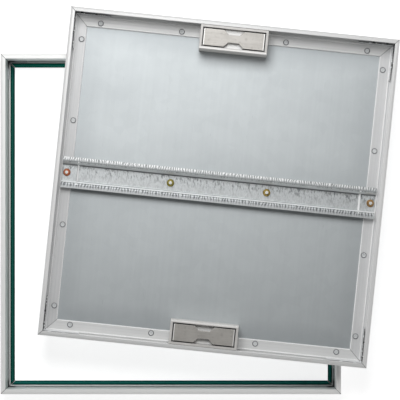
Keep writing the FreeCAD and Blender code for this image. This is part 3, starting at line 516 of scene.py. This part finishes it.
def cast_housing():
    """Die-cast handle housing: a plain cast skin, floors under the plate painted pale as light, a painted
    highlight on the front rim, and painted shade in the gap.
    """
    look = Look("cast_housing", COVER_TURN, COVER_MIDDLE)
    patches = look.noise(60, 60, detail=4)
    grain = look.noise(800, 800, detail=2)
    rounded = look.edge_normal(FINE_EDGE)
    rim = look.mix(look.spread(patches, 0, 1), srgb(192, 190, 187), srgb(208, 206, 203))
    tilt = look.facing_up()
    level = look.remap(tilt, 0.1, 0.6, 0, 1)
    skin = look.mix(level, srgb(206, 204, 201), rim)
    # Painted light: the floors under the plate are painted near white
    floor_light = look.remap(look.axis("Z"), *HOUSING_FLOOR, 0.9, 0)
    skin = look.mix(look.times(floor_light, level), skin, srgb(253, 253, 252))
    # Painted highlight along the front rim
    front_rim_highlight = look.band(off_handle(look), *FRONT_RIM_HIGHLIGHT, FOLD_FADE)
    front_rim_highlight = look.times(front_rim_highlight, look.remap(tilt, 0.6, 0.9, 0, 0.7))
    worn_and_highlit = look.sums("MAXIMUM", look.times(look.edge_wear_and_highlight(rounded), 0.5), front_rim_highlight)
    clean = look.mix(worn_and_highlit, skin, srgb(252, 251, 249))
    # Painted shade in the gap and crevices
    look.colour(look.mix(handle_gap_shade(look), clean, GAP_SHADE))
    look.rough(look.spread(grain, 0.42, 0.54))
    look.bump(grain, strength=0.1, depth=0.0001, normal=rounded)
    look.set(metallic=0.1)
    return look


def satin_plate():
    """Lifting plates of satin steel with a warm cast, brush lines along their length, bright edges from
    wear and painted highlight, and painted highlight lines at their ends.
    """
    look = Look("satin_plate", COVER_TURN, COVER_MIDDLE)
    lines = look.noise(20, 900, detail=3)
    cloud = look.noise(45, 45, detail=4)
    smudges = look.noise(160, 160, detail=2)
    share = look.sums("ADD", look.spread(lines, 0, 0.4), look.spread(cloud, 0, 0.6))
    share = look.sums("SUBTRACT", share, look.remap(smudges, 0.58, 0.72, 0, 0.8))
    skin = look.mix(share, srgb(165, 162, 157), srgb(187, 184, 179))
    rounded = look.edge_normal(FINE_EDGE)
    worn_and_highlit = look.times(look.edge_wear_and_highlight(rounded), 0.9)
    # Painted highlight lines along the plate's ends
    ends = look.band(look.distance("X"), *PLATE_END_HIGHLIGHT, LINE_FADE)
    clean = look.mix(look.sums("MAXIMUM", worn_and_highlit, ends), skin, srgb(250, 249, 246))
    # Painted shade in the gap and crevices
    look.colour(look.mix(handle_gap_shade(look), clean, GAP_SHADE))
    look.rough(look.spread(lines, 0.52, 0.42))
    look.bump(lines, strength=0.12, depth=0.0001, normal=rounded)
    look.set(metallic=0.4)
    return look


def dress(look, *names):
    """Gives the nodes the look in every material slot."""
    for name in names:
        piece = nodes[name]
        if not piece.material_slots:
            piece.data.materials.append(None)
        for slot in piece.material_slots:
            slot.material = look.material


# Each side: its turn, cover tones and head tones, painted light on the frame's walls with a green tint as a
# painted reflection of the seal, painted shade in the frame's grooves, and painted highlight lines on the
# cover; tones and amounts differ by side as painted light and shade
for side, turn, tones, head_tones, frame_wall_light, crevice_shade, pale_lines in (
        ("upper", 0.0, COVER_TONES, COVER_HEAD_TONES, srgb(240, 244, 243), 0.1, 0.0),
        ("left", QUARTER_TURN, COVER_LEFT_SHADED_TONES, COVER_SIDE_HEAD_LIT_TONES, srgb(170, 182, 179), 0.5, 0.5),
        ("lower", 0.0, COVER_TONES, COVER_HEAD_TONES, srgb(204, 212, 210), 0.3, 0.5),
        ("right", QUARTER_TURN, COVER_RIGHT_SHADED_TONES, COVER_SIDE_HEAD_LIT_TONES, srgb(236, 240, 239), 0.1, 0.8)):
    frame_look = extruded_aluminium(f"{side}_frame_extrusion", FRAME_TONES, FRAME_TONES, frame_wall_light,
                                    FRAME_OUTER, turn, FRAME_MIDDLE, crevice_shade=crevice_shade)
    dress(frame_look, f"{side}_frame_rail")
    cover_look = extruded_aluminium(f"{side}_cover_extrusion", tones, head_tones, ALUMINIUM_WEAR_AND_HIGHLIGHT,
                                    COVER_OUTER, COVER_TURN + turn, COVER_MIDDLE, pale_lines=pale_lines)
    dress(cover_look, f"{side}_cover_rail")
# The seal's strips share one green, painted lighter on the lower and right strips and lighter still on the
# upper strip, which lies in shade, as painted light
dress(seal_rubber("green_rubber", srgb(0, 64, 55), srgb(2, 78, 68), srgb(8, 88, 77)), "left_seal_strip")
dress(seal_rubber("green_rubber_painted_lighter", srgb(0, 78, 70), srgb(3, 92, 83), srgb(10, 104, 94)),
      "lower_seal_strip", "right_seal_strip")
dress(seal_rubber("green_rubber_painted_fill_light", srgb(0, 100, 84), srgb(2, 114, 96), srgb(8, 124, 105)),
      "upper_seal_strip")
dress(corner_cleat(), *(f"{corner}_frame_cleat" for corner in CORNERS))
dress(staked_steel(), *(f"{corner}_corner_angle" for corner in CORNERS))
dress(galvanised_plate(), "base_plate")
dress(spangled_channel(), "stiffener_channel")
dress(rivet_aluminium(), "rivets")
dress(plain_metal("bright_zinc", srgb(252, 252, 249), srgb(236, 237, 234), 0.3, 0.4),
      "channel_bolts", "housing_screws")
dress(passivated_nuts("red_passivation", srgb(184, 88, 56), srgb(164, 120, 62)), "end_flange_nuts")
dress(passivated_nuts("yellow_passivation", srgb(148, 138, 44), srgb(166, 140, 58)), "inner_flange_nuts")
dress(cast_housing(), *(f"{side}_handle_housing" for side in HANDLES))
dress(satin_plate(), *(f"{side}_lifting_plate" for side in HANDLES))
dress(plain_metal("turned_steel", srgb(206, 206, 206), srgb(180, 180, 182), 0.3, 1.0),
      *(f"{side}_{piece}" for side in HANDLES for piece in ("guide_pins", "retaining_washers")))


# Floor, world, lamp and camera

def seen_rays(tree):
    """1 for the rays that show a background: to the camera, by reflection or through glass."""
    rays = tree.nodes.new("ShaderNodeLightPath")
    seen = rays.outputs["Is Camera Ray"]
    for name in ("Is Glossy Ray", "Is Transmission Ray"):
        either = tree.nodes.new("ShaderNodeMath")
        either.operation = "MAXIMUM"
        tree.links.new(seen, either.inputs[0])
        tree.links.new(rays.outputs[name], either.inputs[1])
        seen = either.outputs[0]
    return seen


def product(tree, first, second):
    """One output times another output or a number."""
    made = tree.nodes.new("ShaderNodeMath")
    made.operation = "MULTIPLY"
    tree.links.new(first, made.inputs[0])
    if isinstance(second, bpy.types.NodeSocket):
        tree.links.new(second, made.inputs[1])
    else:
        made.inputs[1].default_value = second
    return made.outputs[0]


def make_floor():
    """A pale floor that shows white in the open and keeps the object's shadow."""
    mesh = bpy.data.meshes.new("floor")
    signs = ((-1, -1), (1, -1), (1, 1), (-1, 1))
    corners = [(x * FLOOR_HALF, y * FLOOR_HALF, -FLOOR_DROP) for x, y in signs]
    mesh.from_pydata(corners, [], [(0, 1, 2, 3)])
    floor = bpy.data.objects.new("floor", mesh)
    bpy.context.scene.collection.objects.link(floor)
    material = bpy.data.materials.new("pale_floor")
    material.use_nodes = True
    tree = material.node_tree
    tree.nodes.clear()
    output = tree.nodes.new("ShaderNodeOutputMaterial")
    diffuse = tree.nodes.new("ShaderNodeBsdfDiffuse")
    diffuse.inputs["Color"].default_value = (*FLOOR_TONE, 1)
    glow = tree.nodes.new("ShaderNodeEmission")
    tree.links.new(product(tree, seen_rays(tree), FLOOR_GLOW), glow.inputs["Strength"])
    both = tree.nodes.new("ShaderNodeAddShader")
    tree.links.new(diffuse.outputs[0], both.inputs[0])
    tree.links.new(glow.outputs[0], both.inputs[1])
    tree.links.new(both.outputs[0], output.inputs["Surface"])
    mesh.materials.append(material)


def make_world():
    """A plain studio sky: pale round the horizon and dark overhead, with a white rim where it is seen."""
    world = bpy.data.worlds.new("studio")
    bpy.context.scene.world = world
    world.use_nodes = True
    tree = world.node_tree
    direction = tree.nodes.new("ShaderNodeTexCoord")
    split = tree.nodes.new("ShaderNodeSeparateXYZ")
    tree.links.new(direction.outputs["Generated"], split.inputs[0])

    def fade(heights, levels):
        made = tree.nodes.new("ShaderNodeMapRange")
        made.interpolation_type = "SMOOTHSTEP"
        made.inputs["From Min"].default_value, made.inputs["From Max"].default_value = heights
        made.inputs["To Min"].default_value, made.inputs["To Max"].default_value = levels
        tree.links.new(split.outputs["Z"], made.inputs["Value"])
        return made.outputs["Result"]

    sky = fade(WORLD_SKY_FADE, (WORLD_HORIZON, WORLD_ZENITH))
    rim = product(tree, fade(WORLD_RIM_TOP, (WORLD_RIM - WORLD_HORIZON, 0)), seen_rays(tree))
    level = tree.nodes.new("ShaderNodeMath")
    tree.links.new(sky, level.inputs[0])
    tree.links.new(rim, level.inputs[1])
    tree.links.new(level.outputs[0], tree.nodes["Background"].inputs["Strength"])
    tree.nodes["Background"].inputs["Color"].default_value = (1, 1, 1, 1)


def make_key():
    """A large soft lamp that faces the cover and isn't itself seen."""
    lamp = bpy.data.lights.new("key", "AREA")
    lamp.shape = "SQUARE"
    lamp.size = KEY_SIDE
    lamp.energy = KEY_POWER
    holder = bpy.data.objects.new("key", lamp)
    holder.location = KEY_PLACE
    holder.rotation_euler = (KEY_TARGET - KEY_PLACE).to_track_quat("-Z", "Y").to_euler()
    holder.visible_camera = False
    bpy.context.scene.collection.objects.link(holder)


def make_camera():
    """The photograph's camera: overhead, with only the shift that its framing needs."""
    data = bpy.data.cameras.new("camera")
    data.lens = CAMERA_LENS_MM
    data.sensor_width = CAMERA_SENSOR_MM
    data.shift_y = CAMERA_SHIFT_Y
    camera = bpy.data.objects.new("camera", data)
    camera.location = (CAMERA_X, CAMERA_Y, CAMERA_HEIGHT)
    bpy.context.scene.collection.objects.link(camera)
    bpy.context.scene.camera = camera


make_floor()
make_world()
make_key()
make_camera()
bpy.context.scene.view_settings.view_transform = "Standard"
